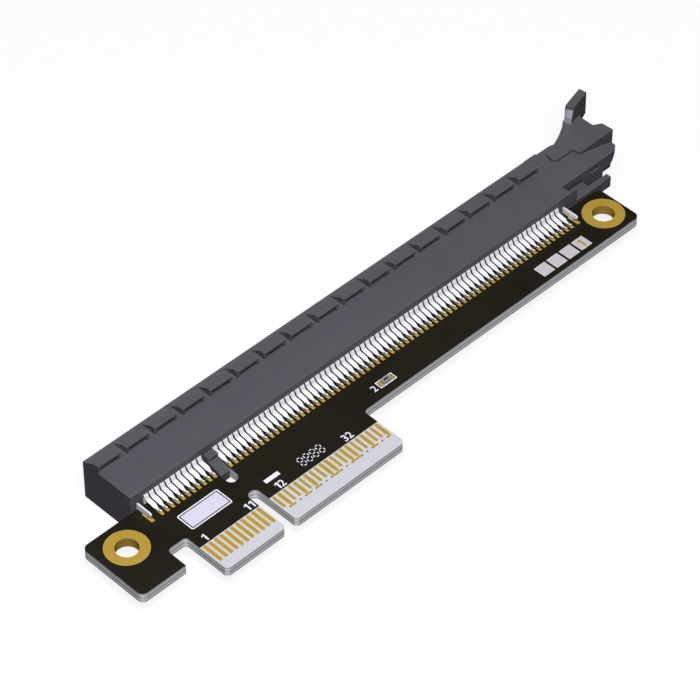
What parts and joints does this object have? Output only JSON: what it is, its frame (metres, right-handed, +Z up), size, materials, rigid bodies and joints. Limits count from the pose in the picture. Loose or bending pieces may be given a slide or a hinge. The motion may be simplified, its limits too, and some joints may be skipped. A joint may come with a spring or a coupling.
{
  "type": "pcie riser card",
  "caption": "Flat riser board with a keyed card edge and a straddle mounted full length card slot with a swinging latch lever.",
  "frame": {"origin": "midway between the centres of the two mounting holes, on the board's lower face", "axes": "+X along the slot towards the latch lever, +Y from the card edge towards the slot's mouth, +Z up, square to the board"},
  "size_m": [0.1137, 0.0294, 0.011],
  "materials": {
    "laminate": "bare glass epoxy laminate with layered edges",
    "solder_mask": "black semi-gloss solder mask",
    "gold_plating": "gold plated copper",
    "tinned_contact": "bright tinned spring metal",
    "housing_plastic": "dark grey moulded glass filled plastic",
    "lever_plastic": "dark grey moulded plastic",
    "resistor_ceramic": "dark glazed chip body",
    "resistor_tin": "tinned end caps"
  },
  "bodies": {
    "card": {"board_laminate": "laminate", "solder_mask_top": "solder_mask", "solder_mask_bottom": "solder_mask", "plated_hole_left": "gold_plating", "plated_hole_right": "gold_plating", "fingers_short_top": "gold_plating", "fingers_short_bottom": "gold_plating", "fingers_long_top": "gold_plating", "fingers_long_bottom": "gold_plating", "tail_pads_top": "gold_plating", "tail_pads_bottom": "gold_plating", "hold_down_pads": "gold_plating", "contacts_top": "tinned_contact", "contacts_bottom": "tinned_contact", "hold_down_left": "tinned_contact", "hold_down_right": "tinned_contact", "slot_housing": "housing_plastic", "resistor_pads": "gold_plating", "resistor_body": "resistor_ceramic", "resistor_caps": "resistor_tin"},
    "lever": {"latch_lever": "lever_plastic"}
  },
  "joints": [
    {"name": "lever_swing", "type": "hinge", "parent": "card", "child": "lever", "pos_m": [0.0506, 0.01168, 0.0008], "axis": [0, 0, 1], "range_deg": [0, 35]}
  ]
}
